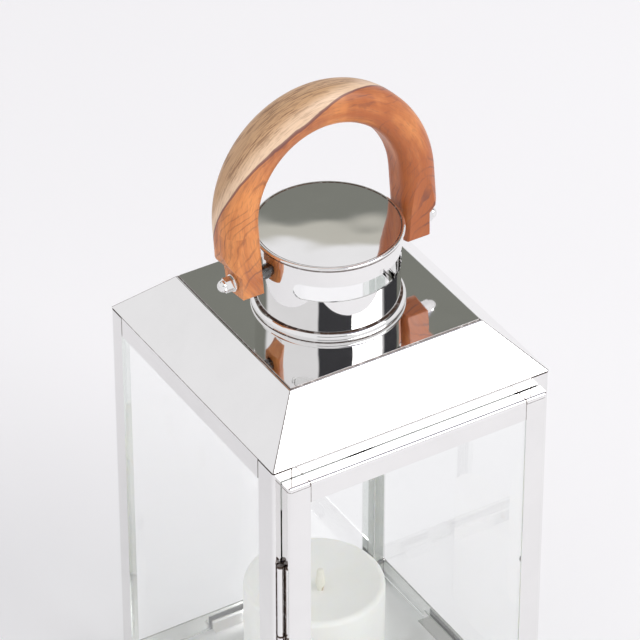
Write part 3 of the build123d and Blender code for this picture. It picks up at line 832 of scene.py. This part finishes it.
# ------------------------------------------------------------------ candle
class LANTERN_OT_make_candle(bpy.types.Operator):
    """Give the candle its wax and the wick its cotton"""

    bl_idname = "lantern.make_candle"
    bl_label = "Make the candle"

    def execute(self, context):
        wax, tree, shader = new_material("candle_wax")
        vector = place(tree)
        mottle = add_noise(tree, vector, 45.0, detail=4.0, roughness=0.6)
        colour = (*lantern_settings().candle.wax, 1.0)
        paler = (0.98, 0.972, 0.92, 1.0)
        tint = add_mix(tree, add_range(tree, mottle, 0.35, 0.7), colour, paler)
        tree.links.new(tint, shader.inputs["Base Color"])
        tree.links.new(add_range(tree, mottle, 0.3, 0.7, 0.42, 0.58), shader.inputs["Roughness"])
        shader.inputs["Subsurface Weight"].default_value = 0.35
        shader.inputs["Subsurface Radius"].default_value = (0.012, 0.010, 0.007)
        shader.inputs["Subsurface Scale"].default_value = 0.3
        bump = tree.nodes.new("ShaderNodeBump")
        bump.inputs["Distance"].default_value = 0.0003
        tree.links.new(mottle, bump.inputs["Height"])
        tree.links.new(bump.outputs["Normal"], shader.inputs["Normal"])
        dress(wax, "candle_body")

        cotton, tree, shader = new_material("wick_cotton")
        x, _, z = add_axes(tree)
        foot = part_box("candle_body")[1].z - 4 * MM
        plait = add_noise(tree, place(tree, scale=(1, 1, 0.4)), 420.0, detail=2.0)
        tint = add_mix(tree, plait, (0.84, 0.82, 0.70, 1.0), (0.92, 0.90, 0.82, 1.0))
        centre = middle("candle_wick").x
        # browner at the wick's foot, on its right side
        brown_foot_spot = add_maths(
            tree,
            "MULTIPLY",
            add_range(tree, z, foot + 2 * MM, foot + 5 * MM, 1.0, 0.0),
            add_range(tree, x, centre - 1 * MM, centre + 1 * MM),
        )
        brown_foot_spot = add_maths(tree, "MULTIPLY", brown_foot_spot, 0.8)
        tint = add_mix(tree, brown_foot_spot, tint, (0.48, 0.30, 0.13, 1.0))
        tree.links.new(tint, shader.inputs["Base Color"])
        tree.links.new(add_range(tree, plait, 0.3, 0.7, 0.5, 0.8), shader.inputs["Roughness"])
        dress(cotton, "candle_wick")
        return {"FINISHED"}


# ------------------------------------------------------------------ stage
def direction(azimuth, elevation):
    """A unit vector; azimuth is turned from -Y towards -X."""
    return Vector(
        (
            sin(azimuth) * cos(elevation),
            -cos(azimuth) * cos(elevation),
            sin(elevation),
        )
    )


# patches of the room: turn from the far side and height, each low, high and softness in degrees
FAR_DARK = ((-66.0, 76.0, 6.0), (33.4, 47.0, 0.8))
FAR_RIM = ((-66.0, 76.0, 6.0), (30.4, 34.0, 0.6))
SIDE_DARK = ((40.0, 82.0, 4.0), (30.0, 43.0, 1.5))
OVERHEAD = ((35.0, 130.0, 8.0), (55.0, 82.0, 2.0))
UNLIT = (0.05, 0.05, 0.055, 1.0)


def make_room(stage):
    """A white studio; its far end and a strip behind the camera are unlit above the backdrop."""
    world = bpy.data.worlds.new("studio")
    bpy.context.scene.world = world
    world.use_nodes = True
    tree = world.node_tree
    tree.nodes.clear()
    coordinates = tree.nodes.new("ShaderNodeTexCoord").outputs["Generated"]
    away = -direction(stage.azimuth, 0.0)
    right = Vector((cos(stage.azimuth), sin(stage.azimuth), 0.0))
    parts = []
    for axis in (away, right, Vector((0.0, 0.0, 1.0))):
        dot = tree.nodes.new("ShaderNodeVectorMath")
        dot.operation = "DOT_PRODUCT"
        dot.inputs[1].default_value = axis
        tree.links.new(coordinates, dot.inputs[0])
        parts.append(dot.outputs["Value"])
    degrees_each = 180 / pi
    turn = add_maths(
        tree, "MULTIPLY", add_maths(tree, "ARCTAN2", parts[1], parts[0]), degrees_each
    )
    height = add_maths(tree, "MULTIPLY", add_maths(tree, "ARCSINE", parts[2]), degrees_each)
    behind = most(
        tree,
        add_range(tree, turn, 108.0, 142.0),
        add_range(tree, turn, -166.0, -162.0, 1.0, 0.0),
    )
    behind_dark = add_maths(tree, "MULTIPLY", behind, within(tree, height, 31.0, 41.0, 1.0))
    far_dark, far_rim, side_dark, overhead = (
        add_maths(
            tree,
            "MULTIPLY",
            within(tree, turn, *turns),
            within(tree, height, *heights),
        )
        for turns, heights in (FAR_DARK, FAR_RIM, SIDE_DARK, OVERHEAD)
    )
    tint = add_mix(tree, far_rim, (*stage.room, 1.0), (*stage.rim, 1.0))
    tint = add_mix(tree, far_dark, tint, (*stage.dark, 1.0))
    tint = add_mix(tree, most(tree, behind_dark, side_dark), tint, UNLIT)
    tint = add_mix(tree, overhead, tint, (*stage.ceiling, 1.0))
    background = tree.nodes.new("ShaderNodeBackground")
    tree.links.new(tint, background.inputs["Color"])
    output = tree.nodes.new("ShaderNodeOutputWorld")
    tree.links.new(background.outputs["Background"], output.inputs["Surface"])


FLOOR_REACH = 15.0  # metres
KEY_SIZE = (4.0, 2.4)  # metres
KEY_DISTANCE = 5.0  # metres
KEY_DIRECTION = Vector((0.4182, -0.6114, 0.6717)).normalized()


def make_floor():
    """A large pale floor under the lantern's feet."""
    mesh = bpy.data.meshes.new("floor")
    shape = bmesh.new()
    bmesh.ops.create_grid(shape, x_segments=1, y_segments=1, size=FLOOR_REACH)
    shape.to_mesh(mesh)
    shape.free()
    floor = bpy.data.objects.new("floor", mesh)
    bpy.context.scene.collection.objects.link(floor)
    material, tree, shader = new_material("floor_paper")
    cloud = add_noise(tree, place(tree), 3.0, detail=2.0)
    tint = add_mix(tree, cloud, (0.93, 0.92, 0.93, 1.0), (0.945, 0.935, 0.945, 1.0))
    tree.links.new(tint, shader.inputs["Base Color"])
    shader.inputs["Roughness"].default_value = 0.9
    shader.inputs["Specular IOR Level"].default_value = 0.2
    mesh.materials.append(material)


def make_key_light(stage):
    """One large soft light at the front right."""
    data = bpy.data.lights.new("key_light", "AREA")
    data.shape = "RECTANGLE"
    data.size, data.size_y = KEY_SIZE
    data.energy = stage.key_power
    light = bpy.data.objects.new("key_light", data)
    light.location = CASE_MIDDLE + KEY_DISTANCE * KEY_DIRECTION
    light.rotation_euler = KEY_DIRECTION.to_track_quat("Z", "Y").to_euler()
    bpy.context.scene.collection.objects.link(light)


def make_camera(stage):
    """The camera, aimed a little off the middle of the roof's lower edge."""
    back = direction(stage.azimuth, stage.elevation)
    right = Vector((cos(stage.azimuth), sin(stage.azimuth), 0.0))
    up = back.cross(right)
    data = bpy.data.cameras.new("camera")
    data.lens = stage.lens
    data.sensor_width = 36.0
    data.clip_end = 60.0
    camera = bpy.data.objects.new("camera", data)
    camera.location = (
        CASE_MIDDLE + stage.distance * back + stage.slide_right * right + stage.slide_up * up
    )
    camera.rotation_euler = (pi / 2 - stage.elevation, 0.0, stage.azimuth)
    bpy.context.scene.collection.objects.link(camera)
    bpy.context.scene.camera = camera


class LANTERN_OT_set_stage(bpy.types.Operator):
    """Set the floor, the light and the camera"""

    bl_idname = "lantern.set_stage"
    bl_label = "Set the stage"

    def execute(self, context):
        stage = lantern_settings().stage
        make_room(stage)
        make_floor()
        make_key_light(stage)
        make_camera(stage)
        context.scene.view_settings.view_transform = "Standard"
        return {"FINISHED"}


# ------------------------------------------------------------------ panel
STEPS = (
    LANTERN_OT_finish_case,
    LANTERN_OT_fit_glass,
    LANTERN_OT_finish_chimney,
    LANTERN_OT_finish_handle,
    LANTERN_OT_finish_door,
    LANTERN_OT_make_candle,
    LANTERN_OT_set_stage,
)


class LANTERN_PT_steps(bpy.types.Panel):
    """Lists the lantern's settings and steps"""

    bl_label = "Candle lantern"
    bl_space_type = "VIEW_3D"
    bl_region_type = "UI"
    bl_category = "Lantern"

    def draw(self, context):
        settings = context.scene.lantern
        for name in ("steel", "glass", "wood", "candle", "stage"):
            box = self.layout.box()
            group = getattr(settings, name)
            for key in group.__annotations__:
                box.prop(group, key)
        for step in STEPS:
            self.layout.operator(step.bl_idname)


CLASSES = (
    SteelSettings,
    GlassSettings,
    WoodSettings,
    CandleSettings,
    StageSettings,
    LanternSettings,
    *STEPS,
    LANTERN_PT_steps,
)


def register():
    """Adds the classes and the settings to Blender."""
    for each in CLASSES:
        bpy.utils.register_class(each)
    bpy.types.Scene.lantern = bpy.props.PointerProperty(type=LanternSettings)


def unregister():
    """Takes them away again."""
    del bpy.types.Scene.lantern
    for each in reversed(CLASSES):
        bpy.utils.unregister_class(each)


def main():
    """Makes the whole scene."""
    register()
    bpy.ops.lantern.finish_case()
    bpy.ops.lantern.fit_glass()
    bpy.ops.lantern.finish_chimney()
    bpy.ops.lantern.finish_handle()
    bpy.ops.lantern.finish_door()
    bpy.ops.lantern.make_candle()
    bpy.ops.lantern.set_stage()


if __name__ == "__main__":
    main()
